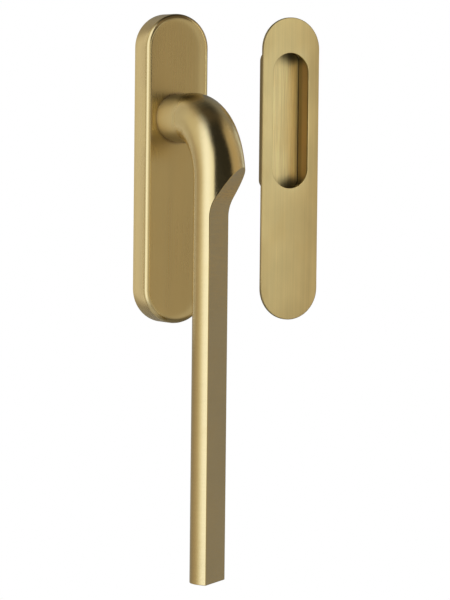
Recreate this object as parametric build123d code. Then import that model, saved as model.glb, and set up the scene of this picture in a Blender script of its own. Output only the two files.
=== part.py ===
from build123d import *
import math
import os

os.makedirs("parts", exist_ok=True)

# Lift and slide door handle, millimetres. The origin is the middle of the cover plate's back, on the door.
# The door face is the plane Y = 0, fronts look along -Y, +Z is up and the grip hangs down at rest.

# Cover plate of the lever: a pill-shaped shell with its back on the door
plate_height = 220.0
plate_width = 48.5
plate_depth = 21.0
plate_edge_round = 3.5
spindle_below_top = 74.0
cover_wall = 2.0
cover_front = 2.5
neck_hole_gap = 0.35

# Lever: a neck that widens a little, a bend, and a half-round grip below a slanted scoop
neck_root_radius = 17.1
grip_radius = 18.1
neck_length = 24.0
bend_radius = 43.0
lever_length = 323.5
grip_turn = 42.0
scoop_start = 32.5
scoop_angle = 32.6
scoop_blend = 26.0
crease_round = 0.5

# Stub of the lever and what holds it in the base plate
stub_radius = 12.0
stub_tail = 0.9
stub_inset = 0.65
groove_depth = 0.8
bearing_gap = 0.06
turning_gap = 0.15
bush_wall = 2.0
bush_flange_width = 2.4
bush_flange_thickness = 1.0
washer_thickness = 1.0
washer_width = 4.3
ring_thickness = 1.2
ring_width = 3.0
ring_play = 0.1
ring_opening = 7.0
ring_ear_radius = 2.4
ring_ear_hole = 0.9

# Spindle and its grub screw
spindle_side = 10.0
spindle_reach = 36.0
spindle_depth_in_neck = 21.0
spindle_chamfer = 1.0
spindle_gap = 0.05
grub_radius = 3.0
grub_length = 9.0
grub_from_cover = 10.0
grub_socket = 3.0
grub_socket_depth = 3.5

# Base plate under the cover
base_thickness = 6.0
base_gap = 0.3
boss_wall = 6.0
boss_gap = 1.2
pocket_gap = 1.0
base_rib_height = 4.0
base_rib_width = 2.5
base_rib_inset = 7.0
base_rib_end_gap = 6.0

# Screws through the door and the sleeves that locate the base plate on it
screw_from_end = 13.0
screw_radius = 3.0
screw_shank_radius = 2.7
screw_shank_reach = 10.0
screw_head_radius = 6.0
screw_hole_gap = 0.3
screw_reach = 34.0
screw_socket = 4.0
screw_socket_depth = 2.2
sleeve_radius = 5.5
sleeve_wall = 2.0
sleeve_length = 9.0
sleeve_seat_depth = 1.5
sleeve_seat_gap = 0.05

# Spring clips that hold the cover, and their rivets
clip_from_end = 40.0
clip_height = 9.0
clip_thickness = 0.8
clip_ear_height = 6.5
clip_bend_radius = 1.6
rivet_radius = 1.6
rivet_head_radius = 3.0
rivet_head_height = 1.3
rivet_head_chamfer = 0.9
rivet_depth = 4.0

# Flush pull: a thin pill-shaped plate with a pill-shaped recess, beside the lever
pull_distance = 100.0
pull_width = 46.0
pull_thickness = 2.0
pull_edge_chamfer = 0.4
recess_width = 28.9
recess_height = 98.5
recess_depth = 16.0
recess_below_spindle = 1.0
recess_edge_chamfer = 0.4
cup_wall = 2.0
cup_corner_radius = 8.0
gasket_thickness = 0.8
gasket_inset = 2.0
gasket_gap = 0.3
post_radius = 5.0
post_length = 11.0
post_thread_radius = 3.0
post_thread_depth = 9.0
post_chamfer = 0.6

# For the making only: how far a cutter stands past what it cuts, and the slack when edges are looked up
cutter_past = 1.0
lookup_slack = 0.01

# Heights that the pieces share
spindle_z = plate_height / 2 - spindle_below_top
screw_z = plate_height / 2 - screw_from_end
clip_z = plate_height / 2 - clip_from_end
screw_heights = {"upper": screw_z, "lower": -screw_z}
clip_heights = {"upper": clip_z, "lower": -clip_z}
at_spindle = Pos(0, 0, spindle_z)

# Depths of the lever's stub, counted from the door face, fronts negative
pocket_depth = (turning_gap + washer_thickness + ring_thickness + ring_play + stub_tail + stub_inset)
washer_front = -pocket_depth + turning_gap
ring_front = washer_front + washer_thickness
groove_back = ring_front + ring_thickness + ring_play
stub_back = groove_back + stub_tail
cover_inside = -(plate_depth - cover_front)
boss_front = cover_inside + boss_gap
bush_front = boss_front - bush_flange_thickness
neck_shoulder = bush_front - turning_gap

# Radii round the stub
groove_radius = stub_radius - groove_depth
bush_bore = stub_radius + bearing_gap
bush_radius = bush_bore + bush_wall
boss_radius = bush_radius + boss_wall
washer_radius = stub_radius + washer_width
ring_radius = groove_radius + ring_width
ring_reach = math.hypot(ring_opening / 2, ring_radius) + ring_ear_radius
pocket_radius = max(washer_radius, ring_reach) + pocket_gap

# Places along the lever
bend_start = -(plate_depth + neck_length)
grip_y = bend_start - bend_radius
spindle_front = -(plate_depth + spindle_depth_in_neck)
grub_y = -(plate_depth + grub_from_cover)
spindle_hole_side = spindle_side + 2 * spindle_gap

# Inside of the cover and the size of the base plate in it
cavity_width = plate_width - 2 * cover_wall
cavity_height = plate_height - 2 * cover_wall
base_width = cavity_width - 2 * base_gap
base_height = cavity_height - 2 * base_gap

# Places of the flush pull
pull_back = -gasket_thickness
pull_front = pull_back - pull_thickness
recess_middle = spindle_z - recess_below_spindle
cup_back = pull_front + recess_depth + cup_wall


def facing_front(y, x=0.0, z=0.0):
    """Work plane at depth y that looks to the front, with local x along +X and local y along +Z."""
    return Plane(origin=(x, y, z), x_dir=(1, 0, 0), z_dir=(0, -1, 0))


def rod(radius, back, front, x=0.0, z=0.0):
    """Round bar along Y from its back to its front."""
    return extrude(facing_front(back, x, z) * Circle(radius), back - front)


def pill(width, height, back, front, x=0.0, z=0.0):
    """Upright bar with round ends, between two depths."""
    return extrude(facing_front(back, x, z) * SlotOverall(height, width, rotation=90), back - front)


def turned(points):
    """Solid of revolution about the spindle axis from (radius, depth) points."""
    return revolve(make_face(Polyline(*[(r, y, 0) for r, y in points], close=True)), Axis.Y)


def edges_at(part, place, axis=Axis.Y):
    """Edges that lie wholly at one place along an axis."""
    return part.edges().filter_by_position(axis, place - lookup_slack, place + lookup_slack)


def cover_plate():
    """Shell over the base plate, open at the back, with the hole for the neck."""
    outside = pill(plate_width, plate_height, 0, -plate_depth)
    outside = fillet(edges_at(outside, -plate_depth), plate_edge_round)
    inside = pill(cavity_width, cavity_height, 0, cover_inside)
    hole = rod(neck_root_radius + neck_hole_gap, 0, -2 * plate_depth, z=spindle_z)
    return outside - inside - hole


def screw_seat(z):
    """Countersink, through hole and sleeve seat for one screw."""
    taper = screw_head_radius
    cone = Pos(0, -base_thickness + taper / 2, z) * Rot(90, 0, 0) * Cone(0, taper, taper)
    through = rod(screw_radius + screw_hole_gap, base_thickness, -2 * base_thickness, z=z)
    seat = rod(sleeve_radius + sleeve_seat_gap, 0, -sleeve_seat_depth, z=z)
    return cone + through + seat


def base_plate():
    """Cast plate with the bearing boss, two stiffening ribs, screw seats and rivet holes."""
    plate = pill(base_width, base_height, 0, -base_thickness)
    plate += rod(boss_radius, 0, boss_front, z=spindle_z)
    rib_length = 2 * clip_z - clip_height - 2 * base_rib_end_gap
    rib = Box(base_rib_width, base_rib_height, rib_length)
    for side in (-1, 1):
        x = side * (base_width / 2 - base_rib_inset)
        plate += Pos(x, -base_thickness - base_rib_height / 2, 0) * rib
    plate -= rod(bush_radius, 0, -plate_depth, z=spindle_z)
    plate -= rod(pocket_radius, 0, -pocket_depth, z=spindle_z)
    for z in screw_heights.values():
        plate -= screw_seat(z)
    for z in clip_heights.values():
        plate -= rod(rivet_radius, -base_thickness + rivet_depth, -2 * base_thickness, z=z)
    return plate


def bearing_bush():
    """Flanged plastic bush in the boss."""
    return at_spindle * turned([
        (bush_bore, -pocket_depth), (bush_radius, -pocket_depth), (bush_radius, boss_front),
        (bush_radius + bush_flange_width, boss_front), (bush_radius + bush_flange_width, bush_front),
        (bush_bore, bush_front),
    ])


def lever_core():
    """Stub, ring groove, shoulder and the neck that widens towards the bend, turned about the spindle axis."""
    return turned([
        (0, stub_back), (stub_radius, stub_back), (stub_radius, groove_back),
        (groove_radius, groove_back), (groove_radius, ring_front), (stub_radius, ring_front),
        (stub_radius, neck_shoulder), (neck_root_radius, neck_shoulder),
        (neck_root_radius, -plate_depth), (grip_radius, bend_start), (0, bend_start),
    ])


def lever_bar():
    """Bend and straight part of the lever as a full round bar."""
    section = facing_front(bend_start) * Circle(grip_radius)
    bend = revolve(section, Axis((0, bend_start, -bend_radius), (1, 0, 0)), 90)
    straight = extrude(Plane(origin=(0, grip_y, -bend_radius), z_dir=(0, 0, -1)) * Circle(grip_radius),
                       lever_length - bend_radius)
    return bend + straight


def scoop_cutter():
    """What is cut away to leave the half-round grip: a slant from the shoulder, a blend and a long flat."""
    turn = math.radians(grip_turn)
    plane = Plane(origin=(0, grip_y, 0), x_dir=(math.sin(turn), -math.cos(turn), 0),
                  z_dir=(-math.cos(turn), -math.sin(turn), 0))
    fall = 1 / math.tan(math.radians(scoop_angle))
    outer = 2 * grip_radius
    below = -lever_length - grip_radius
    corner_height = -scoop_start - grip_radius * fall
    outline = Polyline((outer, corner_height + outer * fall), (0, corner_height), (0, below),
                       (outer, below), close=True)
    face = make_face(outline)
    corner = face.vertices().sort_by_distance((0, corner_height, 0))[0]
    face = fillet(corner, scoop_blend)
    return extrude(plane * face, 2 * grip_radius, both=True)


def grip_creases(bar):
    """Edges where the cut faces meet the round bar, and the outline of the grip's end."""
    rounds = bar.faces().filter_by(GeomType.CYLINDER).sort_by(SortBy.AREA)
    cut = bar.faces().filter_by(GeomType.PLANE).sort_by(Axis.Y)[:-1] + [rounds[0]]
    outer = bar.faces().filter_by(GeomType.TORUS) + [rounds[-1]]
    outer_edges = [edge for face in outer for edge in face.edges()]
    creases = [edge for face in cut for edge in face.edges()
               if any(edge.is_same(other) for other in outer_edges)]
    end = edges_at(bar, -lever_length, Axis.Z)
    return ShapeList(creases + [edge for edge in end if not any(edge.is_same(c) for c in creases)])


def lever_handle():
    """Lever in one piece, with its square hole and the threaded hole for the grub screw."""
    bar = lever_bar() - scoop_cutter()
    bar = fillet(grip_creases(bar), crease_round)
    lever = lever_core() + bar
    depth = stub_back - spindle_front
    square = Box(spindle_hole_side, depth, spindle_hole_side)
    lever -= Pos(0, (stub_back + spindle_front) / 2, 0) * square
    lever -= Pos(0, grub_y, -grip_radius) * Cylinder(grub_radius, 2 * grip_radius)
    return at_spindle * lever


def spindle():
    """Square bar with both ends chamfered."""
    middle = (spindle_reach + spindle_front) / 2
    bar = Pos(0, middle, 0) * Box(spindle_side, spindle_reach - spindle_front, spindle_side)
    ends = edges_at(bar, spindle_reach) + edges_at(bar, spindle_front)
    return at_spindle * chamfer(ends, spindle_chamfer)


def spindle_grub_screw():
    """Set screw below the spindle, with a hexagon socket."""
    top = -spindle_side / 2
    body = Pos(0, grub_y, top - grub_length / 2) * Cylinder(grub_radius, grub_length)
    socket = extrude(RegularPolygon(grub_socket / 2, 6, major_radius=False), grub_socket_depth)
    return at_spindle * (body - Pos(0, grub_y, top - grub_length) * socket)


def slide_washer():
    """Thin washer between the pocket and the retaining ring."""
    washer = rod(washer_radius, ring_front, washer_front) - rod(stub_radius + bearing_gap, 0, -pocket_depth)
    return at_spindle * washer


def retaining_ring():
    """Open spring ring in the stub's groove, with two drilled ears."""
    back = ring_front + ring_thickness
    ears = (-ring_opening / 2, ring_opening / 2)
    ring = rod(ring_radius, back, ring_front)
    for x in ears:
        ring += rod(ring_ear_radius, back, ring_front, x, -ring_radius)
    ring -= rod(groove_radius, 0, -pocket_depth)
    ring -= Pos(0, 0, -ring_radius) * Box(ring_opening / 2, 4 * pocket_depth, 2 * ring_radius)
    for x in ears:
        ring -= rod(ring_ear_hole, 0, -pocket_depth, x, -ring_radius)
    return at_spindle * ring


def through_bolt(z):
    """Countersunk screw with a reduced shank under its head, a threaded end and a hexagon socket."""
    taper = screw_head_radius - screw_shank_radius
    head = Pos(0, -base_thickness + taper / 2, z) * Rot(90, 0, 0) * Cone(
        screw_shank_radius, screw_head_radius, taper)
    screw = head + rod(screw_shank_radius, screw_shank_reach, -base_thickness + taper, z=z)
    screw += rod(screw_radius, screw_reach, screw_shank_reach, z=z)
    socket = facing_front(-base_thickness + screw_socket_depth, z=z) * RegularPolygon(
        screw_socket / 2, 6, major_radius=False)
    return screw - extrude(socket, 2 * screw_socket_depth)


def locating_sleeve(z):
    """Tube round one screw, seated in the base plate and the door."""
    sleeve = rod(sleeve_radius, sleeve_length, -sleeve_seat_depth, z=z)
    return sleeve - rod(sleeve_radius - sleeve_wall, 2 * sleeve_length, -base_thickness, z=z)


def cover_clip(z):
    """Flat spring strip whose turned-up ears press on the inside of the cover."""
    half = cavity_width / 2
    seat = -base_thickness
    line = FilletPolyline((-half, seat - clip_ear_height), (-half, seat), (half, seat),
                          (half, seat - clip_ear_height), radius=clip_bend_radius)
    inner = FilletPolyline((half - clip_thickness, seat - clip_ear_height),
                           (half - clip_thickness, seat - clip_thickness),
                           (-half + clip_thickness, seat - clip_thickness),
                           (-half + clip_thickness, seat - clip_ear_height),
                           radius=clip_bend_radius - clip_thickness)
    face = make_face(line + Line(line @ 1, inner @ 0) + inner + Line(inner @ 1, line @ 0))
    strip = Pos(0, 0, z - clip_height / 2) * extrude(face, clip_height)
    return strip - rod(rivet_radius, 0, -plate_depth, z=z)


def clip_rivet(z):
    """Rivet with a bevelled head over the clip."""
    top = -base_thickness - clip_thickness
    shank = rod(rivet_radius, -base_thickness + rivet_depth, top, z=z)
    head = rod(rivet_head_radius, top, top - rivet_head_height, z=z)
    head = chamfer(edges_at(head, top - rivet_head_height), rivet_head_chamfer)
    return shank + head


def pull_face_plate():
    """Face plate of the flush pull with the pill-shaped opening."""
    plate = pill(pull_width, plate_height, pull_back, pull_front, pull_distance)
    plate -= pill(recess_width, recess_height, 0, 2 * pull_front, pull_distance, recess_middle)
    front = plate.faces().sort_by(Axis.Y)[0]
    plate = chamfer(front.outer_wire().edges(), pull_edge_chamfer)
    rim = plate.faces().sort_by(Axis.Y)[0].inner_wires()[0]
    return chamfer(rim.edges(), recess_edge_chamfer)


def cup_outline(grow=0.0):
    """Outline of the cup's outside, grown by a clearance."""
    return RectangleRounded(recess_width + 2 * (cup_wall + grow), recess_height + 2 * (cup_wall + grow),
                            cup_corner_radius + grow)


def pull_cup():
    """Cup behind the face plate that the fingers reach into."""
    plane = facing_front(cup_back, pull_distance, recess_middle)
    cup = extrude(plane * cup_outline(), cup_back - pull_back)
    floor = pull_front + recess_depth
    return cup - pill(recess_width, recess_height, floor, 2 * pull_front, pull_distance, recess_middle)


def pull_gasket():
    """Flat seal between the face plate and the door, round the cup and the posts."""
    seal = pill(pull_width - 2 * gasket_inset, plate_height - 2 * gasket_inset, 0, pull_back, pull_distance)
    plane = facing_front(cutter_past, pull_distance, recess_middle)
    seal -= extrude(plane * cup_outline(gasket_gap), gasket_thickness + 2 * cutter_past)
    for z in screw_heights.values():
        seal -= rod(post_radius + gasket_gap, cutter_past, pull_back - cutter_past, pull_distance, z)
    return seal


def threaded_post(z):
    """Round post behind the face plate with a threaded hole for a through bolt."""
    post = rod(post_radius, post_length, pull_back, pull_distance, z)
    post -= rod(post_thread_radius, post_length, post_length - post_thread_depth, pull_distance, z)
    return chamfer(edges_at(post, post_length), post_chamfer)


pieces = {
    "cover_plate": cover_plate(),
    "base_plate": base_plate(),
    "bearing_bush": bearing_bush(),
    "lever_handle": lever_handle(),
    "spindle": spindle(),
    "spindle_grub_screw": spindle_grub_screw(),
    "slide_washer": slide_washer(),
    "retaining_ring": retaining_ring(),
    "pull_face_plate": pull_face_plate(),
    "pull_cup": pull_cup(),
    "pull_gasket": pull_gasket(),
}
for place, z in screw_heights.items():
    pieces[f"through_bolt_{place}"] = through_bolt(z)
    pieces[f"locating_sleeve_{place}"] = locating_sleeve(z)
    pieces[f"threaded_post_{place}"] = threaded_post(z)
for place, z in clip_heights.items():
    pieces[f"cover_clip_{place}"] = cover_clip(z)
    pieces[f"clip_rivet_{place}"] = clip_rivet(z)

for name, piece in pieces.items():
    piece.label = name
    export_step(piece, f"parts/{name}.step")
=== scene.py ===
import math

import bmesh
import bpy
from mathutils import Euler, Matrix, Vector


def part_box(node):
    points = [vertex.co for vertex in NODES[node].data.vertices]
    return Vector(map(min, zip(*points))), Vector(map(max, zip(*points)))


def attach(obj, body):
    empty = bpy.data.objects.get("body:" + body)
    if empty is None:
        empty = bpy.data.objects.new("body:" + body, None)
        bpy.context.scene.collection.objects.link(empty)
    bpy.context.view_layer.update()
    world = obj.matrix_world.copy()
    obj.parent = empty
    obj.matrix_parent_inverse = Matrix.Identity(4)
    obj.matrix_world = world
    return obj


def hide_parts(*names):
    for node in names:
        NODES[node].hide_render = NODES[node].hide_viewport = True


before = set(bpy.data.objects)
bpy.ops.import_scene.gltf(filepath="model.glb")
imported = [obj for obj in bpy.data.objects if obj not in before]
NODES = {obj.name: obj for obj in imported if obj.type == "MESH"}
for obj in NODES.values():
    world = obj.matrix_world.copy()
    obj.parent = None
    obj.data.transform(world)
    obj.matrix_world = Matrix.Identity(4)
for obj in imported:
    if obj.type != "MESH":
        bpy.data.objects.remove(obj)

bl_info = {
    "name": "Lift and slide door handle",
    "version": (1, 0, 0),
    "blender": (4, 5, 0),
    "location": "3D View > Sidebar > Door handle",
    "description": "Models and finishes a lift and slide handle with its cover plate and flush pull",
    "category": "Add Mesh",
}

FIXED, LEVER = "fixed_plates", "lever"
PLACES = ("upper", "lower")
MM = 0.001
QUARTER_TURN = math.pi / 2

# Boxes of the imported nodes, so that every piece goes where the frame has it
COVER_LOW, COVER_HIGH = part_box("cover_plate")
PULL_LOW, PULL_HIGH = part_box("pull_face_plate")
CUP_LOW, CUP_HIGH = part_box("pull_cup")
SPINDLE_LOW, SPINDLE_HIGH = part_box("spindle")
CUP_MIDDLE = (CUP_LOW + CUP_HIGH) / 2
SPINDLE_MIDDLE = (SPINDLE_LOW + SPINDLE_HIGH) / 2

# Corners this close are one corner: while a shape is made, and after it is cut
SAME_POINT, WELD = 1e-6, 2e-6
# Faces that meet at less than this angle are shaded as one
SMOOTH_ANGLE = math.radians(32)
# How far one part of a bolt reaches into the next, so that they join
OVERLAP = 0.1 * MM

# How often the brushing's noise repeats in a metre, across the lines and along them
FINE_LINES, COARSE_LINES, BANDS = (6500.0, 26.0), (850.0, 9.0), (380.0, 6.0)
CLOUDS, HANDLING_MARKS = (28.0, 16.0), (45.0, 30.0)

# The tent round the object, and how many times brighter its panels are than their tones say
TENT_RADIUS, PANEL_STRENGTH = 1.7, 2.0
# Panels of the tent by the degrees that they stand to the left of straight in front
TENT_PANELS = [
    (-180, (0.165, 0.16, 0.15)), (-150, (0.10, 0.10, 0.10)), (-118, (0.12, 0.122, 0.13)),
    (-97, (0.15, 0.135, 0.118)), (-81, (0.21, 0.18, 0.15)), (-60, (0.265, 0.22, 0.165)),
    (-48, (0.26, 0.22, 0.165)), (-38, (0.225, 0.19, 0.15)), (-28, (0.152, 0.135, 0.111)),
    (-20, (0.17, 0.155, 0.13)), (16, (0.20, 0.19, 0.17)), (26, (0.262, 0.262, 0.266)),
    (34, (0.33, 0.33, 0.335)), (44, (0.44, 0.445, 0.46)), (56, (0.54, 0.57, 0.66)),
    (75, (0.62, 0.69, 0.90)), (90, (0.58, 0.63, 0.80)), (103, (0.43, 0.43, 0.44)),
    (115, (0.29, 0.27, 0.23)), (128, (0.23, 0.20, 0.165)), (160, (0.155, 0.135, 0.11)),
    (180, (0.165, 0.16, 0.15)),
]

BLACK = (0.02, 0.02, 0.02)
# Whether a card glows to both sides, or only for rays that reach its back on their way forwards or left
ALL_ROUND, BEHIND = False, True
# Cards for reflections: name, lowest and highest corner, colour, strength, and from where they glow
CARDS = [
    ("black_card", (-0.044, -0.13, -0.05), (0.0185, -0.13, 0.055), BLACK, 1.0, ALL_ROUND),
    ("black_card_above", (-0.07, -0.13, 0.055), (0.0185, -0.13, 0.12), BLACK, 1.0, ALL_ROUND),
    ("black_card_high", (-0.12, -0.13, 0.12), (0.045, -0.13, 0.4), BLACK, 1.0, ALL_ROUND),
    ("black_roof", (-0.16, -0.13, 0.4), (0.06, 0.0, 0.4), (0.08, 0.065, 0.05), 1.0, ALL_ROUND),
    ("plate_card", (0.028, -0.13, -0.12), (0.045, -0.13, 0.12), (1.0, 0.85, 0.66), 0.47, ALL_ROUND),
    ("side_card", (-0.044, 0.022, -0.12), (-0.034, 0.022, 0.12), (1.0, 0.98, 0.93), 0.8, ALL_ROUND),
    ("edge_card", (-0.062, -0.012, -0.12), (-0.062, 0.022, 0.12), (1.0, 0.98, 0.93), 0.56, ALL_ROUND),
    ("neck_card", (-0.06, 0.022, 0.014), (-0.044, 0.022, 0.058), (1.0, 0.92, 0.72), 0.5, ALL_ROUND),
    ("neck_shade", (-0.0212, -0.03, 0.02), (-0.0172, -0.03, 0.052), (1.0, 0.9, 0.8), 0.2, BEHIND),
    ("grip_shade", (-0.012, -0.05, -0.115), (0.0085, -0.05, 0.008), (1.0, 0.89, 0.73), 0.375, BEHIND),
    ("arch_card", (-0.034, -0.031, 0.109), (0.02, -0.031, 0.17), (1.0, 0.8, 0.6), 0.24, BEHIND),
    ("pull_card", (0.126, -0.12, -0.125), (0.139, -0.12, 0.25), (0.94, 0.98, 1.0), 1.55, ALL_ROUND),
    ("pull_card_right", (0.139, -0.12, -0.125), (0.17, -0.12, 0.08), (0.94, 0.98, 1.0), 0.68, ALL_ROUND),
    ("pull_card_above", (0.139, -0.12, 0.08), (0.17, -0.12, 0.25), (0.92, 0.98, 1.0), 0.86, ALL_ROUND),
    ("floor_card", (0.125, -0.07, -0.014), (0.125, -0.024, 0.086), (0.86, 0.92, 1.0), 0.82, ALL_ROUND),
    ("recess_card", (0.1, -0.045, -0.015), (0.1, -0.0185, 0.09), (0.88, 0.96, 1.0), 2.2, BEHIND),
    ("recess_shade", (0.1, -0.0185, -0.015), (0.1, -0.003, 0.09), (1.0, 0.9, 0.8), 0.12, BEHIND),
]
# A ring in front of the cover plate's edge: name, its two (radius, depth) points, and the rest as above
RIM_CARD = ("rim_card", [(0.0205, -0.03), (0.0258, -0.03)], (1.0, 0.95, 0.88), 0.46, BEHIND)

FLOOR_RADIUS, FLOOR_HEIGHT = 1.3, -0.7
# Where the floor starts to fade into the background, and where it is gone
FADE_START, FADE_END = 0.45, 1.25
# How far the camera sees
CAMERA_RANGE = 20.0


def length(name, description, default):
    """A size in metres."""
    return bpy.props.FloatProperty(name=name, description=description, default=default,
                                   min=0, precision=5, subtype="DISTANCE", unit="LENGTH")


def colour(name, description, default):
    """A linear colour."""
    return bpy.props.FloatVectorProperty(name=name, description=description, default=default,
                                         size=3, min=0, max=1, subtype="COLOR")


def share(name, description, default, high=1.0):
    """A plain number from 0."""
    return bpy.props.FloatProperty(name=name, description=description, default=default, min=0, max=high)


class HandleSizes(bpy.types.PropertyGroup):
    """Sizes of the pieces that are modelled here."""

    cover_round: length("Cover edge round", "Round along the cover plate's front edge", 3.5 * MM)
    cover_wall: length("Cover wall", "Thickness of the cover plate's side wall", 2.0 * MM)
    cover_front: length("Cover front", "Thickness of the cover plate's front", 2.5 * MM)
    neck_hole: length("Neck hole radius", "Hole in the cover plate that the neck turns in", 17.13 * MM)
    bend_radius: length("Bend radius", "From the bend's middle to the middle of the bar", 43.0 * MM)
    lever_grain: length("Lever grain", "How strongly the lever's fine lines stand out", 0.06 * MM)
    bend_start: length("Bend start", "From the door face to where the lever starts to bend", 45.0 * MM)
    pull_edge: length("Pull edge round", "Small round along the flush pull's front edges", 0.4 * MM)
    cup_wall: length("Cup wall", "Wall and floor thickness of the cup", 2.0 * MM)
    cup_corner: length("Cup corner", "Corner radius of the cup's outside", 8.0 * MM)
    recess_corner: length("Recess corner", "Corner radius of the recess behind its mouth", 3.0 * MM)
    recess_blend: length("Recess blend", "Blend between the recess wall and its floor", 0.3 * MM)
    spindle_chamfer: length("Spindle chamfer", "Chamfer at both ends of the square spindle", 1.0 * MM)
    spindle_edge: length("Spindle edge", "Small round along the square spindle", 0.35 * MM)
    head_radius: length("Bolt head radius", "Radius of the through bolts' countersunk heads", 6.0 * MM)
    head_edge: length("Bolt head edge", "Small round at the rim of a bolt's head", 0.3 * MM)
    shank_radius: length("Bolt shank radius", "Reduced shank under a bolt's head", 2.7 * MM)
    shank_end: length("Bolt shank end", "From the door face to where a bolt's thread starts", 10.0 * MM)
    thread_radius: length("Thread radius", "Outside radius of the bolts' thread", 3.0 * MM)
    thread_depth: length("Thread depth", "From the crest of the thread to its root", 0.55 * MM)
    thread_pitch: length("Thread pitch", "Rise of the thread in one turn", 1.0 * MM)
    socket: length("Socket", "Width across the bolts' hexagon socket", 4.0 * MM)
    socket_depth: length("Socket depth", "Depth of the bolts' hexagon socket", 2.2 * MM)
    post_hole: length("Post hole depth", "Depth of the threaded hole in the flush pull's posts", 9.0 * MM)
    post_chamfer: length("Post chamfer", "Chamfer at the end of the posts", 0.6 * MM)


class HandleColours(bpy.types.PropertyGroup):
    """Colours of the finishes."""

    brass: colour("Brass", "Satin brass of everything in view", (0.8, 0.63, 0.29))
    # Painted shade: the tone of the recess's side wall
    wall_shade: colour("Wall brass", "Shaded brass on the recess's side wall", (0.57, 0.38, 0.165))
    # Painted shade: the tone that the cover plate is darkened to round the neck
    crevice_shade: colour("Crevice shade", "Brass in the crevice round the neck", (0.36, 0.27, 0.17))
    steel: colour("Steel", "Zinc plated steel", (0.62, 0.63, 0.65))
    zinc: colour("Zinc", "Cast zinc of the base plate", (0.52, 0.53, 0.55))
    plastic: colour("Plastic", "Bearing bush", (0.8, 0.79, 0.74))
    rubber: colour("Rubber", "Seal behind the flush pull", (0.028, 0.028, 0.03))


class HandleStage(bpy.types.PropertyGroup):
    """Camera and light."""

    camera_distance: length("Camera distance", "From the camera to the cover plate", 2.5)
    camera_turn: share("Camera turn", "Degrees that the camera stands to the left", 25.7, 90)
    camera_rise: share("Camera rise", "Degrees that the camera stands above the plate's middle", 0.9, 90)
    camera_lens: share("Lens", "Focal length in millimetres", 209.25, 1000)
    camera_roll: share("Roll", "Degrees that the camera leans", 0.62, 10)
    aim_right: length("Aim right", "How far right of the plate's middle the camera aims", 44.2 * MM)
    aim_down: length("Aim down", "How far below the plate's middle the camera aims", 93.9 * MM)
    light: share("Light", "Level of the studio's soft light", 1.0, 10)


class Wire:
    """An output in a node tree that takes part in sums."""

    def __init__(self, plan, socket):
        self.plan, self.socket = plan, socket

    def sum_of(self, operation, first, second=0.0):
        """The outcome of a maths node."""
        return self.plan.node("ShaderNodeMath", {"operation": operation}, {0: first, 1: second})

    def __add__(self, other):
        return self.sum_of("ADD", self, other)

    def __sub__(self, other):
        return self.sum_of("SUBTRACT", self, other)

    def __rsub__(self, other):
        return self.sum_of("SUBTRACT", other, self)

    def __mul__(self, other):
        return self.sum_of("MULTIPLY", self, other)

    def __truediv__(self, other):
        return self.sum_of("DIVIDE", self, other)

    def __pow__(self, other):
        return self.sum_of("POWER", self, other)

    __radd__ = __add__
    __rmul__ = __mul__

    def at_least(self, low):
        return self.sum_of("MAXIMUM", self, low)

    def at_most(self, high):
        return self.sum_of("MINIMUM", self, high)

    def size(self):
        return self.sum_of("ABSOLUTE", self)

    def fade(self, start, end):
        """0 before start and 1 after end, smoothly."""
        return self.plan.node("ShaderNodeMapRange", {"interpolation_type": "SMOOTHSTEP"},
                              {"Value": self, "From Min": start, "From Max": end})


class Plan:
    """A node tree that is filled one node at a time."""

    def __init__(self, tree):
        self.tree = tree
        tree.nodes.clear()

    def node(self, kind, settings=None, values=None, output=0):
        """Adds a node with its settings, fills its inputs with values or wires, and gives an output."""
        made = self.tree.nodes.new(kind)
        for key, value in (settings or {}).items():
            if key == "stops":
                self.set_stops(made.color_ramp, value)
            else:
                setattr(made, key, value)
        for key, value in (values or {}).items():
            if isinstance(value, Wire):
                self.tree.links.new(value.socket, made.inputs[key])
            else:
                made.inputs[key].default_value = value
        return Wire(self, made.outputs[output]) if len(made.outputs) else made

    @staticmethod
    def set_stops(ramp, stops):
        while len(ramp.elements) < len(stops):
            ramp.elements.new(1.0)
        for element, (place, tone) in zip(ramp.elements, stops):
            element.position = place
            element.color = (*tone, 1.0)

    def place(self):
        """The x, y and z of the point on the object."""
        point = self.node("ShaderNodeTexCoord", output="Object")
        return [self.node("ShaderNodeSeparateXYZ", values={0: point}, output=k) for k in range(3)]

    def join(self, x, y, z):
        return self.node("ShaderNodeCombineXYZ", values={0: x, 1: y, 2: z})

    def noise(self, vector, scale, detail=2.0, rough=0.5):
        return self.node("ShaderNodeTexNoise", values={
            "Vector": vector, "Scale": scale, "Detail": detail, "Roughness": rough}, output="Fac")

    def cells(self, vector, scale):
        """How far the nearest of many scattered points is."""
        return self.node("ShaderNodeTexVoronoi", {"feature": "F1"},
                         {"Vector": vector, "Scale": scale}, "Distance")

    def mix(self, factor, first, second, blend="MIX"):
        """A colour between two colours."""
        first, second = (tone if isinstance(tone, Wire) else (*tone, 1.0) for tone in (first, second))
        return self.node("ShaderNodeMix", {"data_type": "RGBA", "blend_type": blend},
                         {0: factor, 6: first, 7: second}, 2)

    def bump(self, height, strength, distance):
        return self.node("ShaderNodeBump", values={
            "Strength": strength, "Distance": distance, "Height": height}, output="Normal")


def material_from(name, plan_surface):
    """A material whose surface comes from plan_surface(plan)."""
    material = bpy.data.materials.new(name)
    material.use_nodes = True
    plan = Plan(material.node_tree)
    plan.node("ShaderNodeOutputMaterial", values={"Surface": plan_surface(plan)})
    return material


def tinted(tone, by):
    """A colour made lighter or darker."""
    return tuple(min(1.0, max(0.0, channel * by)) for channel in tone[:3])


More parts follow.
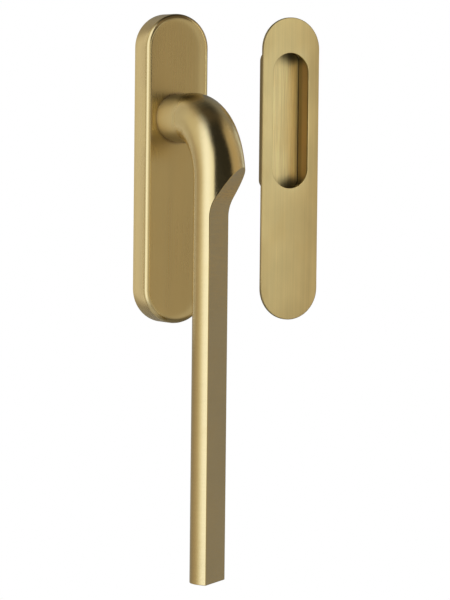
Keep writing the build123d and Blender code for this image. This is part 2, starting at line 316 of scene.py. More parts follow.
def brushed(plan, spot, base_rough, streak=0.5, blotch=0.5, depth=0.005 * MM, uneven=1.0):
    """Satin brass: fine lines, streaks, soft clouds and faint handling marks.

    spot(across, along) gives the place to look noise up at, scaled across and along the lines. streak
    and blotch say how strong lines and clouds are, depth how deep the lines are, and uneven how much the
    roughness changes."""
    tone = sizes_and_colours()[1].brass
    fine = plan.noise(spot(*FINE_LINES), 1.0, 2.0, 0.6)
    coarse = plan.noise(spot(*COARSE_LINES), 1.0, 2.0)
    band = plan.noise(spot(*BANDS), 1.0, 2.0)
    cloud = plan.noise(spot(*CLOUDS), 1.0, 3.0)
    marks = plan.noise(spot(*HANDLING_MARKS), 1.0, 2.0)
    lines = fine * 0.5 + coarse * 0.5
    shade = (lines - 0.5) * (2.2 * streak) + (band - 0.5) * (0.9 * streak) + (cloud - 0.5) * blotch + 0.5
    tone_now = plan.mix(shade, tinted(tone, 0.86), tinted(tone, 1.12))
    reddened = (tone[0] * 0.98, tone[1] * 0.9, tone[2] * 0.78)
    warm = plan.mix(marks.fade(0.5, 0.72) * 0.16, tone_now, reddened)
    rough = (base_rough + (coarse - 0.5) * (0.1 * uneven) + (band - 0.5) * (0.06 * uneven)
             + (cloud - 0.5) * (0.1 * uneven) + marks.fade(0.52, 0.7) * (0.04 * uneven))
    return {
        "Base Color": warm,
        "Metallic": 1.0,
        "Roughness": rough,
        "Normal": plan.bump(fine, 1.0, depth),
    }


def upright(plan, x, y, z, quick=1.0):
    """Brushing that runs up and down, and changes quicker along its lines where quick is above 1."""
    return lambda across, along: plan.join(x * across, y * across, z * (quick * along))


def beyond(x, z, low, high, corner):
    """How far a point lies outside an upright outline with round corners, down to -corner inside it."""
    middle, half = (low + high) / 2, (high - low) / 2
    sideways = ((x - middle.x).size() - (half.x - corner)).at_least(0.0)
    upwards = ((z - middle.z).size() - (half.z - corner)).at_least(0.0)
    return (sideways * sideways + upwards * upwards) ** 0.5 - corner


def tone_down(plan, look, mask, tone, rough=0.0):
    """Pulls a look towards a darker tone where a mask is 1, and makes it rougher there."""
    look["Base Color"] = plan.mix(mask, look["Base Color"], tone)
    if rough:
        look["Roughness"] = look["Roughness"] + mask * rough


def cover_brass(plan):
    """Brushed upright, rubbed smooth, with painted shade at both ends of the rounded edge and round the
    neck.
    """
    x, y, z = plan.place()
    sizes, colours = sizes_and_colours()
    look = brushed(plan, upright(plan, x, y, z), 0.28, streak=0.14, blotch=0.4, depth=0.0006 * MM,
                   uneven=0.35)
    edge, front = sizes.cover_round, -COVER_LOW.y
    out, forward = beyond(x, z, COVER_LOW, COVER_HIGH, COVER_HIGH.x), 0.0 - y
    rubbed = out.fade(-edge, -0.6 * edge) * forward.fade(0.6 * front, front)
    look["Roughness"] = look["Roughness"] - rubbed * 0.08
    # Painted shade: a dark line painted along the rounded front edge near both round ends of the plate
    curve = out.fade(-1.3 * edge, -0.7 * edge) * forward.fade(front - 0.8 * edge, front - 0.35 * edge)
    tips = z.size().fade(102.0 * MM, 107.5 * MM)
    tone_down(plan, look, curve * tips * 0.8, tinted(colours.brass, 0.3))
    # Painted shade: the plate is darkened in a ring round the neck, where the neck meets it
    rise = z - SPINDLE_MIDDLE.z
    from_neck = (x * x + rise * rise) ** 0.5
    crevice = 1.0 - from_neck.fade(17.0 * MM, 19.5 * MM)
    tone_down(plan, look, crevice * 0.7, colours.crevice_shade)
    return look


def pull_brass(plan):
    """The flush pull's plate: brushed upright, with painted shade along the rim of both arcs, and a dull
    cut side.
    """
    x, y, z = plan.place()
    brass = sizes_and_colours()[1].brass
    look = brushed(plan, upright(plan, x, y, z), 0.34, streak=0.6, blotch=2.0)
    # Painted shade: a dark line painted along the rim where the arcs run round
    rim = beyond(x, z, PULL_LOW, PULL_HIGH, CUP_MIDDLE.x - PULL_LOW.x).fade(-0.8 * MM, -0.1 * MM)
    arcs = z.size().fade(80 * MM, 92 * MM)
    tone_down(plan, look, rim * arcs * 0.8, tinted(brass, 0.3))
    side = y.fade(PULL_LOW.y + 0.4 * MM, PULL_LOW.y + 0.9 * MM)
    tone_down(plan, look, side, tinted(brass, 0.42), rough=0.1)
    return look


def cup_brass(plan):
    """Inside the recess strong upright brushing, painted light on the floor and painted shade on the
    walls, in the corners and at the ends; outside a raw dull casting.
    """
    x, y, z = plan.place()
    sizes, colours = sizes_and_colours()
    look = brushed(plan, upright(plan, x, y, z, quick=2.5), 0.36, streak=2.2)
    wall, floor = -sizes.cup_wall, CUP_HIGH.y - sizes.cup_wall
    out = beyond(x, z, CUP_LOW, CUP_HIGH, sizes.cup_corner)
    # Painted light: the floor of the recess is made lighter
    bottom = y.fade(floor - 1.5 * MM, floor - 0.3 * MM)
    look["Base Color"] = plan.mix(bottom, look["Base Color"], (1.2, 1.2, 1.2), "MULTIPLY")
    # Painted shade: the recess's side walls take a darker tone
    walls = out.fade(wall - 0.3 * MM, wall - 0.1 * MM)
    tone_down(plan, look, walls, colours.wall_shade)
    # Painted shade: darker still where the walls meet the floor
    corner = out.fade(wall - 0.7 * MM, wall - 0.2 * MM) * bottom
    tone_down(plan, look, corner * 0.92, tinted(colours.brass, 0.16))
    # Painted shade: the floor darkens towards both ends of the recess, more on the right
    end = (z - CUP_MIDDLE.z).size() - (CUP_HIGH.z - CUP_MIDDLE.z)
    end_shade = end.fade(-13 * MM, -3 * MM) * (x - CUP_MIDDLE.x).fade(-12 * MM, 9 * MM)
    tone_down(plan, look, end_shade * 0.85, tinted(colours.brass, 0.14))
    # Painted shade: the walls darken deeper into the recess
    deep = y.fade(0.4 * floor, 0.7 * floor) * walls
    tone_down(plan, look, deep * 0.55, tinted(colours.brass, 0.2))
    outside = out.fade(wall + 0.2 * MM, wall + 0.6 * MM) + y.fade(floor + 0.3 * MM, floor + 0.9 * MM)
    tone_down(plan, look, outside.at_most(1.0), tinted(colours.brass, 0.4), rough=0.06)
    return look


def lever_brass(plan):
    """Fine lines round the bar, all along it, and painted shade on the neck's top and underside up to
    where the bend starts.
    """
    x, y, z = plan.place()
    sizes, colours = sizes_and_colours()
    bend = sizes.bend_radius
    bend_y, bend_z = -sizes.bend_start, SPINDLE_MIDDLE.z - bend
    forward = (bend_y - y).at_least(0.0)
    upward = (z - bend_z).at_least(0.0)
    out = (forward * forward + upward * upward) ** 0.5 - bend
    turn = plan.node("ShaderNodeMath", {"operation": "ARCTAN2"}, {0: forward, 1: upward})
    along = turn * bend + (bend_z - z).at_least(0.0) - (y - bend_y).at_least(0.0)
    neck = y.fade(bend_y - 12 * MM, bend_y + 5 * MM)
    look = brushed(plan, lambda across, slow: plan.join(x * slow, out * slow, along * across),
                   neck * 0.25 + 0.2, streak=0.15, blotch=0.5, depth=sizes.lever_grain)
    # Painted shade: the neck is darkened on its underside and its top, up to where the bend starts
    rise = (z - SPINDLE_MIDDLE.z) / sizes.neck_hole
    under = (0.0 - rise).fade(0.4, 0.85) * y.fade(bend_y - 20 * MM, bend_y - 2 * MM)
    above = rise.fade(0.66, 0.92) * y.fade(bend_y - 30 * MM, bend_y - 10 * MM)
    tone_down(plan, look, (under + above).at_most(1.0), tinted(colours.brass, 0.45))
    return look


def plated_steel(plan):
    """Zinc plated steel with a faint bluish and yellowish play and fine scratches."""
    x, y, z = plan.place()
    tone = sizes_and_colours()[1].steel
    spot = plan.join(x, y, z)
    cloud = plan.noise(spot, 420.0, 3.0)
    grain = plan.noise(spot, 5200.0, 2.0)
    turned = plan.noise(plan.join(x * 300.0, y * 5200.0, z * 300.0), 1.0, 2.0)
    play = plan.mix(cloud, (tone[0] * 0.94, tone[1] * 0.99, tone[2] * 1.08),
                    (tone[0] * 1.08, tone[1] * 1.02, tone[2] * 0.92))
    dust = plan.mix(grain.fade(0.55, 0.75) * 0.3, play, tinted(tone, 0.6))
    return {
        "Base Color": dust,
        "Metallic": 1.0,
        "Roughness": 0.3 + (cloud - 0.5) * 0.2 + (grain - 0.5) * 0.08,
        "Normal": plan.bump(turned * 0.7 + grain * 0.3, 0.3, 0.02 * MM),
    }


def cast_zinc(plan):
    """Zinc as it comes from the die: a fine grain, flow marks and duller hollows."""
    x, y, z = plan.place()
    tone = sizes_and_colours()[1].zinc
    spot = plan.join(x, y, z)
    grain = plan.noise(spot, 1500.0, 4.0, 0.65)
    flow = plan.noise(plan.join(x * 90.0, y * 90.0, z * 22.0), 1.0, 3.0, 0.6)
    pits = plan.cells(spot, 900.0)
    body = plan.mix(flow, tinted(tone, 0.82), tinted(tone, 1.12))
    body = plan.mix((1.0 - pits.fade(0.05, 0.3)) * 0.5, body, tinted(tone, 0.55))
    return {
        "Base Color": body,
        "Metallic": 0.9,
        "Roughness": 0.44 + (grain - 0.5) * 0.2 + (flow - 0.5) * 0.12,
        "Normal": plan.bump(grain * 0.6 + pits.fade(0.0, 0.35) * 0.4, 0.4, 0.06 * MM),
    }


def moulded_plastic(plan):
    """Off-white acetal with a fine moulded grain."""
    x, y, z = plan.place()
    tone = sizes_and_colours()[1].plastic
    spot = plan.join(x, y, z)
    cloud, grain = plan.noise(spot, 260.0, 2.0), plan.noise(spot, 3600.0, 3.0)
    return {
        "Base Color": plan.mix(cloud, tinted(tone, 0.93), tinted(tone, 1.04)),
        "Roughness": 0.42 + (grain - 0.5) * 0.16,
        "Normal": plan.bump(grain, 0.25, 0.03 * MM),
    }


def foam_rubber(plan):
    """Closed-cell rubber with small pores."""
    x, y, z = plan.place()
    tone = sizes_and_colours()[1].rubber
    spot = plan.join(x, y, z)
    cells = plan.cells(spot, 2400.0)
    cloud = plan.noise(spot, 180.0, 3.0)
    return {
        "Base Color": plan.mix(cloud * 0.7 + cells * 0.3, tinted(tone, 0.7), tinted(tone, 2.2)),
        "Roughness": 0.72 + (cloud - 0.5) * 0.2,
        "Normal": plan.bump(cells, 0.5, 0.08 * MM),
    }


# The look and the slot of each finish
FINISHES = {
    "cover_brass": (cover_brass, "satin_brass"),
    "lever_brass": (lever_brass, "satin_brass"),
    "pull_brass": (pull_brass, "satin_brass"),
    "cup_brass": (cup_brass, "satin_brass"),
    "plated_steel": (plated_steel, "plated_steel"),
    "cast_zinc": (cast_zinc, "zinc_casting"),
    "moulded_plastic": (moulded_plastic, "bush_plastic"),
    "foam_rubber": (foam_rubber, "seal_rubber"),
}


def sizes_and_colours():
    """The values that the panel shows."""
    scene = bpy.context.scene
    return scene.handle_sizes, scene.handle_colours


def material_of(name):
    """The finish of that name, made when it is first asked for."""
    plan_look = FINISHES[name][0]
    return bpy.data.materials.get(name) or material_from(name, lambda plan: plan.node(
        "ShaderNodeBsdfPrincipled", values=plan_look(plan), output="BSDF"))


def dress(node, finish_name):
    """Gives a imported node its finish."""
    shown = NODES[node]
    shown.data.materials.clear()
    shown.data.materials.append(material_of(finish_name))


def object_from(bm, name):
    """Turns a bmesh into an object in the scene."""
    mesh = bpy.data.meshes.new(name)
    bm.to_mesh(mesh)
    bm.free()
    made = bpy.data.objects.new(name, mesh)
    bpy.context.scene.collection.objects.link(made)
    return made


def piece_from(bm, name, body, finish_name, *replaced):
    """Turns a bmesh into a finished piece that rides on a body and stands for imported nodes."""
    bmesh.ops.remove_doubles(bm, verts=bm.verts, dist=SAME_POINT)
    bmesh.ops.recalc_face_normals(bm, faces=bm.faces)
    made = object_from(bm, name)
    crease(made.data)
    made.modifiers.new("flat_faces", "WEIGHTED_NORMAL").keep_sharp = True
    made.data.materials.append(material_of(finish_name))
    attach(made, body)
    if replaced:
        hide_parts(*replaced)
    return made


def crease(mesh):
    """Smooth faces that meet in sharp creases."""
    mesh.polygons.foreach_set("use_smooth", [True] * len(mesh.polygons))
    mesh.set_sharp_from_angle(angle=SMOOTH_ANGLE)


def line_of(bm, points):
    """An open line of edges through points."""
    corners = [bm.verts.new(point) for point in points]
    edges = [bm.edges.new(pair) for pair in zip(corners, corners[1:])]
    return corners + edges


def rounded(points, corner, radius, steps):
    """The points of a profile, with one of its corners bevelled into an arc."""
    bm = bmesh.new()
    made = line_of(bm, [(r, y, 0) for r, y in points])
    bmesh.ops.bevel(bm, geom=[made[corner]], offset=radius, segments=steps, profile=0.5,
                    affect="VERTICES", material=-1)
    bm.verts.ensure_lookup_table()
    start = next(v for v in bm.verts if len(v.link_edges) == 1
                 and (v.co - Vector((*points[0], 0))).length < SAME_POINT)
    ordered, edge = [start], None
    while True:
        onward = [e for e in ordered[-1].link_edges if e is not edge]
        if not onward:
            break
        edge = onward[0]
        ordered.append(edge.other_vert(ordered[-1]))
    found = [(v.co.x, v.co.y) for v in ordered]
    bm.free()
    return found


def pill_solid(profile, half, x=0.0, z=0.0, steps=40):
    """An upright shape with round ends, from a profile of (radius, depth) points."""
    bm = bmesh.new()
    edge = line_of(bm, [(r, y, half) for r, y in profile])
    for centre, rise in ((half, -2 * half), (-half, 2 * half)):
        swept = bmesh.ops.spin(bm, geom=edge, cent=(0, 0, centre), axis=(0, -1, 0), angle=math.pi,
                               steps=steps, use_merge=False, use_duplicate=False)
        last = [e for e in swept["geom_last"] if isinstance(e, bmesh.types.BMEdge)]
        drawn = bmesh.ops.extrude_edge_only(bm, edges=last)["geom"]
        corners = [v for v in drawn if isinstance(v, bmesh.types.BMVert)]
        bmesh.ops.translate(bm, verts=corners, vec=(0, 0, rise))
        edge = corners + [e for e in drawn if isinstance(e, bmesh.types.BMEdge)
                          and e.verts[0] in corners and e.verts[1] in corners]
    bmesh.ops.remove_doubles(bm, verts=bm.verts, dist=SAME_POINT)
    bmesh.ops.translate(bm, verts=bm.verts, vec=(x, 0, z))
    return bm


def cut_away(made, cutter_bm, operation="DIFFERENCE"):
    """Cuts a shape out of a piece for good, or joins it, or keeps what both share."""
    bmesh.ops.recalc_face_normals(cutter_bm, faces=cutter_bm.faces)
    cutter = object_from(cutter_bm, "cutter")
    cut = made.modifiers.new("cut", "BOOLEAN")
    cut.operation, cut.object, cut.solver = operation, cutter, "EXACT"
    flats = made.modifiers["flat_faces"]
    flats.show_viewport = flats.show_render = False
    view = bpy.context.evaluated_depsgraph_get()
    result = bpy.data.meshes.new_from_object(made.evaluated_get(view))
    made.modifiers.remove(cut)
    flats.show_viewport = flats.show_render = True
    used_up = made.data, cutter.data
    made.data = result
    bpy.data.objects.remove(cutter)
    for mesh in used_up:
        bpy.data.meshes.remove(mesh)
    bm = bmesh.new()
    bm.from_mesh(result)
    bmesh.ops.remove_doubles(bm, verts=bm.verts, dist=WELD)
    bmesh.ops.dissolve_degenerate(bm, edges=bm.edges, dist=WELD)
    bm.to_mesh(result)
    bm.free()
    crease(result)
    return made


def turned_solid(profile, x=0.0, z=0.0, segments=64):
    """A profile of (radius, depth) points spun round an axis along Y; both its ends lie on the axis."""
    bm = bmesh.new()
    line = line_of(bm, [(r, y, 0) for r, y in profile])
    bmesh.ops.spin(bm, geom=line, cent=(0, 0, 0), axis=(0, 1, 0), angle=2 * math.pi, steps=segments,
                   use_merge=True, use_duplicate=False)
    bmesh.ops.remove_doubles(bm, verts=bm.verts, dist=SAME_POINT)
    bmesh.ops.translate(bm, verts=bm.verts, vec=(x, 0, z))
    return bm


def thread_coil(sizes, start, end, x, z, per_turn=20):
    """Ridge of a screw thread that winds round an axis along Y and reaches a little into its core."""
    bm = bmesh.new()
    pitch, crest = sizes.thread_pitch, sizes.thread_radius
    root = crest - 1.2 * sizes.thread_depth
    foot, flat = 0.44 * pitch, 0.07 * pitch
    section = [(root, -foot), (crest, -flat), (crest, flat), (root, foot)]
    face = bm.faces.new([bm.verts.new((r, start + rise, 0)) for r, rise in section])
    turns = (end - start) / pitch
    bmesh.ops.spin(bm, geom=[face, *face.edges, *face.verts], cent=(0, 0, 0), axis=(0, 1, 0),
                   dvec=(0, pitch / per_turn, 0), angle=2 * math.pi * turns, steps=round(turns * per_turn),
                   use_merge=False, use_duplicate=False)
    bmesh.ops.translate(bm, verts=bm.verts, vec=(x, 0, z))
    return bm


def hexagon_bar(width, front, back, x, z):
    """Six-sided bar along Y."""
    bm = bmesh.new()
    radius = width / 2 / math.cos(math.pi / 6)
    bmesh.ops.create_cone(bm, cap_ends=True, segments=6, radius1=radius, radius2=radius,
                          depth=back - front)
    bmesh.ops.rotate(bm, verts=bm.verts, matrix=Matrix.Rotation(QUARTER_TURN, 3, "X"))
    bmesh.ops.translate(bm, verts=bm.verts, vec=(x, (back + front) / 2, z))
    return bm


class HANDLE_OT_cover_plate(bpy.types.Operator):
    """Model the pill-shaped cover plate of the lever as a thin shell"""

    bl_idname = "handle.cover_plate"
    bl_label = "Cover plate"
    bl_options = {"REGISTER", "UNDO"}

    def execute(self, context):
        sizes = context.scene.handle_sizes
        radius, front = COVER_HIGH.x, COVER_LOW.y
        inside, ceiling = radius - sizes.cover_wall, front + sizes.cover_front
        outer = rounded([(0, front), (radius, front), (radius, 0)], 1, sizes.cover_round, 10)
        profile = outer + [(inside, 0), (inside, ceiling), (0, ceiling)]
        shell = piece_from(pill_solid(profile, COVER_HIGH.z - radius), "cover_plate_shell", FIXED,
                           "cover_brass", "cover_plate")
        hole = [(0, 2 * front), (sizes.neck_hole, 2 * front), (sizes.neck_hole, -front), (0, -front)]
        cut_away(shell, turned_solid(hole, z=SPINDLE_MIDDLE.z, segments=128))
        return {"FINISHED"}


class HANDLE_OT_lever(bpy.types.Operator):
    """Finish the lever with its neck, bend, scoop and half-round grip"""

    bl_idname = "handle.lever"
    bl_label = "Lever"
    bl_options = {"REGISTER", "UNDO"}

    def execute(self, context):
        dress("lever_handle", "lever_brass")
        return {"FINISHED"}


class HANDLE_OT_flush_pull(bpy.types.Operator):
    """Model the flush pull: its face plate and the cup behind it"""

    bl_idname = "handle.flush_pull"
    bl_label = "Flush pull"
    bl_options = {"REGISTER", "UNDO"}

    def execute(self, context):
        sizes = context.scene.handle_sizes
        radius, front, back = (PULL_HIGH.x - PULL_LOW.x) / 2, PULL_LOW.y, PULL_HIGH.y
        outer = rounded([(0, front), (radius, front), (radius, back), (0, back)], 1, sizes.pull_edge, 5)
        plate = piece_from(pill_solid(outer, PULL_HIGH.z - radius, x=CUP_MIDDLE.x), "pull_plate", FIXED,
                           "pull_brass", "pull_face_plate")
        cut_away(plate, self.mouth(sizes))
        cup = piece_from(self.block(CUP_LOW, CUP_HIGH, sizes.cup_corner, sizes.pull_edge),
                         "pull_cup_body", FIXED, "cup_brass", "pull_cup")
        wall = sizes.cup_wall
        low, high = CUP_LOW + Vector((wall, -wall, wall)), CUP_HIGH - Vector((wall, wall, wall))
        cut_away(cup, self.block(low, high, sizes.recess_corner, sizes.recess_blend))
        dress("pull_gasket", "foam_rubber")
        return {"FINISHED"}

    @staticmethod
    def mouth(sizes):
        """The opening for the fingers: a pill with a rounded front edge."""
        radius = (CUP_HIGH.x - CUP_LOW.x) / 2 - sizes.cup_wall
        half = (CUP_HIGH.z - CUP_LOW.z) / 2 - sizes.cup_wall - radius
        front, edge = PULL_LOW.y, sizes.pull_edge
        profile = rounded([(0, -front), (radius, -front), (radius, front), (radius + edge, front),
                           (radius + edge, 2 * front), (0, 2 * front)], 2, edge, 5)
        return pill_solid(profile, half, x=CUP_MIDDLE.x, z=CUP_MIDDLE.z)

    @staticmethod
    def block(low, high, corner, edge):
        """An upright block with round corners and a softened back."""
        bm = bmesh.new()
        middle = (low + high) / 2
        bmesh.ops.create_grid(bm, x_segments=1, y_segments=1, size=0.5)
        bmesh.ops.scale(bm, verts=bm.verts, vec=(high.x - low.x, high.z - low.z, 1))
        bmesh.ops.bevel(bm, geom=bm.verts[:], offset=corner, segments=12, profile=0.5,
                        affect="VERTICES", material=-1)
        bmesh.ops.rotate(bm, verts=bm.verts, matrix=Matrix.Rotation(QUARTER_TURN, 3, "X"))
        bmesh.ops.translate(bm, verts=bm.verts, vec=(middle.x, low.y, middle.z))
        drawn = bmesh.ops.extrude_face_region(bm, geom=bm.faces[:])["geom"]
        back = [v for v in drawn if isinstance(v, bmesh.types.BMVert)]
        bmesh.ops.translate(bm, verts=back, vec=(0, high.y - low.y, 0))
        rim = [e for e in bm.edges if all(abs(v.co.y - high.y) < SAME_POINT for v in e.verts)]
        bmesh.ops.bevel(bm, geom=rim, offset=edge, segments=3, profile=0.5, affect="EDGES", material=-1)
        return bm


class HANDLE_OT_bolts(bpy.types.Operator):
    """Model the through bolts with their threads, and the threaded posts that they hold the pull by"""

    bl_idname = "handle.bolts"
    bl_label = "Bolts and posts"
    bl_options = {"REGISTER", "UNDO"}

    def execute(self, context):
        sizes = context.scene.handle_sizes
        for place in PLACES:
            self.bolt(sizes, place)
            self.post(sizes, place)
            dress(f"locating_sleeve_{place}", "plated_steel")
        return {"FINISHED"}

    @staticmethod
    def threaded(sizes, name, finish_name, start, end, x, z, *replaced):
        """A rod with a thread wound on it, from one depth to another."""
        core, lead = sizes.thread_radius - sizes.thread_depth, sizes.thread_pitch
        rod = [(0, start - lead), (core, start - lead), (core, end + lead), (0, end + lead)]
        made = piece_from(turned_solid(rod, x, z, 40), name, FIXED, finish_name, *replaced)
        return cut_away(made, thread_coil(sizes, start - lead, end + lead / 2, x, z), "UNION")

    def bolt(self, sizes, place):
        """A countersunk screw: its thread with bevelled ends, then the neck and head, then the socket."""
        low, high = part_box(f"through_bolt_{place}")
        z, front, back = (low.z + high.z) / 2, low.y, high.y
        crest, lead = sizes.thread_radius, sizes.thread_depth * 1.4
        made = self.threaded(sizes, f"bolt_{place}", "plated_steel", sizes.shank_end, back, 0, z,
                             f"through_bolt_{place}")
        blank = [(0, sizes.shank_end), (crest - lead, sizes.shank_end), (crest, sizes.shank_end + lead),
                 (crest, back - lead), (crest - lead, back), (0, back)]
        cut_away(made, turned_solid(blank, 0, z, 48), "INTERSECT")
        head, shank = sizes.head_radius, sizes.shank_radius
        neck = rounded([(0, front), (head, front), (shank, front + head - shank)], 1, sizes.head_edge, 3)
        neck += [(shank, sizes.shank_end + OVERLAP), (0, sizes.shank_end + OVERLAP)]
        cut_away(made, turned_solid(neck, 0, z, 48), "UNION")
        cut_away(made, hexagon_bar(sizes.socket, 2 * front, front + sizes.socket_depth, 0, z))

    def post(self, sizes, place):
        """A round post with a threaded hole in its end."""
        low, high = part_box(f"threaded_post_{place}")
        middle, radius, edge = (low + high) / 2, (high.x - low.x) / 2, sizes.post_chamfer
        outside = [(0, low.y), (radius, low.y), (radius, high.y - edge), (radius - edge, high.y),
                   (0, high.y)]
        made = piece_from(turned_solid(outside, middle.x, middle.z), f"post_{place}", FIXED,
                          "plated_steel", f"threaded_post_{place}")
        bottom = high.y - sizes.post_hole + sizes.thread_pitch
        hole = self.threaded(sizes, "hole", "plated_steel", bottom, high.y, middle.x, middle.z)
        cutter = bmesh.new()
        cutter.from_mesh(hole.data)
        bpy.data.objects.remove(hole)
        cut_away(made, cutter)


class HANDLE_OT_spindle(bpy.types.Operator):
    """Model the square spindle, and finish what holds the lever in its bearing"""

    bl_idname = "handle.spindle"
    bl_label = "Spindle and bearing"
    bl_options = {"REGISTER", "UNDO"}

    def execute(self, context):
        sizes = context.scene.handle_sizes
        bm = bmesh.new()
        bmesh.ops.create_cube(bm, size=1.0)
        bmesh.ops.scale(bm, verts=bm.verts, vec=SPINDLE_HIGH - SPINDLE_LOW)
        bmesh.ops.translate(bm, verts=bm.verts, vec=SPINDLE_MIDDLE)
        for long, offset, segments in ((False, sizes.spindle_chamfer, 1), (True, sizes.spindle_edge, 3)):
            edges = [e for e in bm.edges
                     if (abs(e.verts[0].co.y - e.verts[1].co.y) > SPINDLE_HIGH.y) == long]
            bmesh.ops.bevel(bm, geom=edges, offset=offset, segments=segments, profile=0.5,
                            affect="EDGES", material=-1)
        piece_from(bm, "spindle_bar", LEVER, "plated_steel", "spindle")
        for node in ("spindle_grub_screw", "slide_washer", "retaining_ring"):
            dress(node, "plated_steel")
        dress("bearing_bush", "moulded_plastic")
        return {"FINISHED"}


class HANDLE_OT_base(bpy.types.Operator):
    """Finish the base plate under the cover, and its clips and rivets"""

    bl_idname = "handle.base"
    bl_label = "Base plate and clips"
    bl_options = {"REGISTER", "UNDO"}

    def execute(self, context):
        dress("base_plate", "cast_zinc")
        for place in PLACES:
            dress(f"cover_clip_{place}", "plated_steel")
            dress(f"clip_rivet_{place}", "plated_steel")
        return {"FINISHED"}


class HANDLE_OT_stage(bpy.types.Operator):
    """Set up the floor, the studio's soft light and the camera"""

    bl_idname = "handle.stage"
    bl_label = "Stage"
    bl_options = {"REGISTER", "UNDO"}

    def execute(self, context):
        stage = context.scene.handle_stage
        self.white_world(context.scene)
        self.tent(stage)
        self.cards()
        self.floor()
        self.camera(context.scene, stage)
        return {"FINISHED"}

    @staticmethod
    def seen(plan):
        """1 for what the camera sees, directly or in metal and glass."""
        kinds = [plan.node("ShaderNodeLightPath", output=name)
                 for name in ("Is Camera Ray", "Is Glossy Ray", "Is Transmission Ray")]
        return (kinds[0] + kinds[1] + kinds[2]).at_most(1.0)

    def white_world(self, scene):
        """A white background that gives matt surfaces half of its light."""
        world = bpy.data.worlds.new("studio")
        world.use_nodes = True
        scene.world = world
        scene.view_settings.view_transform = "Standard"
        plan = Plan(world.node_tree)
        matt_level = 0.5
        level = self.seen(plan) * (1.0 - matt_level) + matt_level
        light = plan.node("ShaderNodeBackground", values={"Color": (1, 1, 1, 1), "Strength": level})
        plan.node("ShaderNodeOutputWorld", values={"Surface": light})

    def tent(self, stage):
        """A round tent of soft panels that only light and reflections see."""
        bm = bmesh.new()
        bmesh.ops.create_uvsphere(bm, u_segments=64, v_segments=32, radius=TENT_RADIUS)
        bmesh.ops.reverse_faces(bm, faces=bm.faces)
        tent = object_from(bm, "tent")
        tent.visible_camera = tent.visible_shadow = False
        panels = material_from("tent_panels", lambda plan: self.panels(plan, stage.light))
        tent.data.materials.append(panels)

    @staticmethod
    def panels(plan, light):
        """Panels all round, dim overhead and below, with a light one leaning in at the upper left."""
        x, y, z = plan.place()
        turn = plan.node("ShaderNodeMath", {"operation": "ARCTAN2"}, {0: 0.0 - x, 1: 0.0 - y})
        around = turn / (2 * math.pi) + 0.5
        stops = [((degrees + 180) / 360, tone) for degrees, tone in TENT_PANELS]
        panels = plan.node("ShaderNodeValToRGB", {"stops": stops}, {"Fac": around}, "Color")
        height = z / TENT_RADIUS
        ceiling = height.fade(0.68, 0.97)
        ground = (0.0 - height).fade(0.35, 0.85)
        dim = 1.0 - (ceiling * 0.85 + ground * 0.85)
        at_left = (x / -TENT_RADIUS).fade(0.25, 0.65)
        leaning = at_left * height.fade(0.08, 0.3) * (1.0 - height.fade(0.5, 0.8))
        panels = plan.mix(leaning, panels, (0.32, 0.305, 0.27), "LIGHTEN")
        tone = plan.mix(dim, (0, 0, 0), panels)
        return plan.node("ShaderNodeEmission", values={"Color": tone, "Strength": light * PANEL_STRENGTH})

    def cards(self):
        """Cards close to the object that only reflections see."""
        for name, low, high, *glow in CARDS:
            low, size = Vector(low), Vector(high) - Vector(low)
            bm = bmesh.new()
            bmesh.ops.create_grid(bm, x_segments=1, y_segments=1, size=0.5)
            if not size.y:
                bmesh.ops.rotate(bm, verts=bm.verts, matrix=Matrix.Rotation(QUARTER_TURN, 3, "X"))
            if not size.x:
                bmesh.ops.rotate(bm, verts=bm.verts, matrix=Matrix.Rotation(-QUARTER_TURN, 3, "Y"))
            bmesh.ops.scale(bm, verts=bm.verts, vec=[part or 1.0 for part in size])
            bmesh.ops.translate(bm, verts=bm.verts, vec=low + size / 2)
            self.card(bm, name, *glow)
        name, profile, *glow = RIM_CARD
        self.card(pill_solid(profile, COVER_HIGH.z - COVER_HIGH.x), name, *glow)

    @staticmethod
    def card(bm, name, tone, strength, behind):
        """A card of one tone. One that glows behind is clear from its other side."""
        bm.normal_update()
        bmesh.ops.reverse_faces(bm, faces=[face for face in bm.faces if face.normal.y > 0.5])
        card = object_from(bm, name)
        card.visible_camera = card.visible_shadow = card.visible_diffuse = False

        def glow(plan):
            light = plan.node("ShaderNodeEmission", values={"Color": (*tone, 1.0), "Strength": strength})
            if not behind:
                return light
            back = plan.node("ShaderNodeNewGeometry", output="Backfacing")
            clear = plan.node("ShaderNodeBsdfTransparent")
            return plan.node("ShaderNodeMixShader", values={0: back, 1: clear, 2: light})

        card.data.materials.append(material_from(name, glow))

    def floor(self):
        """A pale round floor that fades into the white background."""
        bm = bmesh.new()
        bmesh.ops.create_circle(bm, cap_ends=True, segments=96, radius=FLOOR_RADIUS)
        bmesh.ops.translate(bm, verts=bm.verts, vec=(0, 0, FLOOR_HEIGHT))
        floor = object_from(bm, "floor")
        floor.data.materials.append(material_from("pale_floor", self.fading))

    @staticmethod
    def fading(plan):
        """Pale and grainy in the middle, clear towards the rim."""
        x, y, z = plan.place()
        grain = plan.noise(plan.join(x, y, z), 60.0, 3.0)
        tone = plan.mix(grain, (0.86, 0.86, 0.85), (0.92, 0.92, 0.91))
        pale = plan.node("ShaderNodeBsdfDiffuse", values={"Color": tone})
        clear = plan.node("ShaderNodeBsdfTransparent")
        away = ((x * x + y * y) ** 0.5).fade(FADE_START, FADE_END)
        return plan.node("ShaderNodeMixShader", values={0: away, 1: pale, 2: clear})

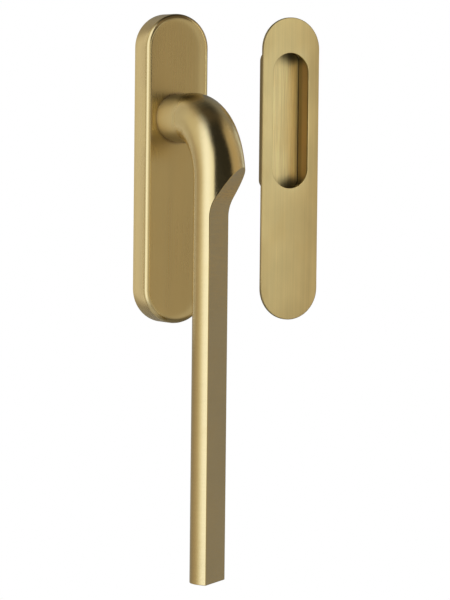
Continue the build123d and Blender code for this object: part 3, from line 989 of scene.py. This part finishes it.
    @staticmethod
    def camera(scene, stage):
        """A long lens that stands to the left, a little above the plate's middle."""
        turn, rise = math.radians(stage.camera_turn), math.radians(stage.camera_rise)
        level = math.cos(rise)
        back = Vector((-math.sin(turn) * level, -math.cos(turn) * level, math.sin(rise)))
        place = back * stage.camera_distance
        right = Vector((0, 0, 1)).cross(back).normalized()
        up = back.cross(right)
        aim = right * stage.aim_right - up * stage.aim_down
        camera = bpy.data.objects.new("camera", bpy.data.cameras.new("camera"))
        scene.collection.objects.link(camera)
        camera.location = place
        look = (aim - place).to_track_quat("-Z", "Y")
        roll = Euler((0, 0, math.radians(stage.camera_roll))).to_quaternion()
        camera.rotation_mode = "QUATERNION"
        camera.rotation_quaternion = look @ roll
        camera.data.lens = stage.camera_lens
        camera.data.clip_end = CAMERA_RANGE
        scene.camera = camera


OPERATORS = (HANDLE_OT_cover_plate, HANDLE_OT_lever, HANDLE_OT_flush_pull, HANDLE_OT_bolts,
             HANDLE_OT_spindle, HANDLE_OT_base, HANDLE_OT_stage)


class HANDLE_PT_panel(bpy.types.Panel):
    """Sizes, colours and the steps that make the handle"""

    bl_idname = "HANDLE_PT_panel"
    bl_label = "Door handle"
    bl_space_type = "VIEW_3D"
    bl_region_type = "UI"
    bl_category = "Door handle"

    def draw(self, context):
        layout = self.layout
        for group in GROUPS:
            box = layout.box()
            values = getattr(context.scene, group)
            for name in values.__annotations__:
                box.prop(values, name)
        for operator in OPERATORS:
            layout.operator(operator.bl_idname)


GROUPS = {"handle_sizes": HandleSizes, "handle_colours": HandleColours, "handle_stage": HandleStage}
CLASSES = (*GROUPS.values(), *OPERATORS, HANDLE_PT_panel)


def register():
    for kind in CLASSES:
        bpy.utils.register_class(kind)
    for name, group in GROUPS.items():
        setattr(bpy.types.Scene, name, bpy.props.PointerProperty(type=group))


def unregister():
    for name in GROUPS:
        delattr(bpy.types.Scene, name)
    for kind in reversed(CLASSES):
        bpy.utils.unregister_class(kind)


def corners(bounds):
    """The two corners of a box as plain lists."""
    return [list(corner) for corner in bounds]


def main():
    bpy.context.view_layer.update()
    register()
    for operator in OPERATORS:
        section, name = operator.bl_idname.split(".")
        getattr(getattr(bpy.ops, section), name)()


if __name__ == "__main__":
    main()
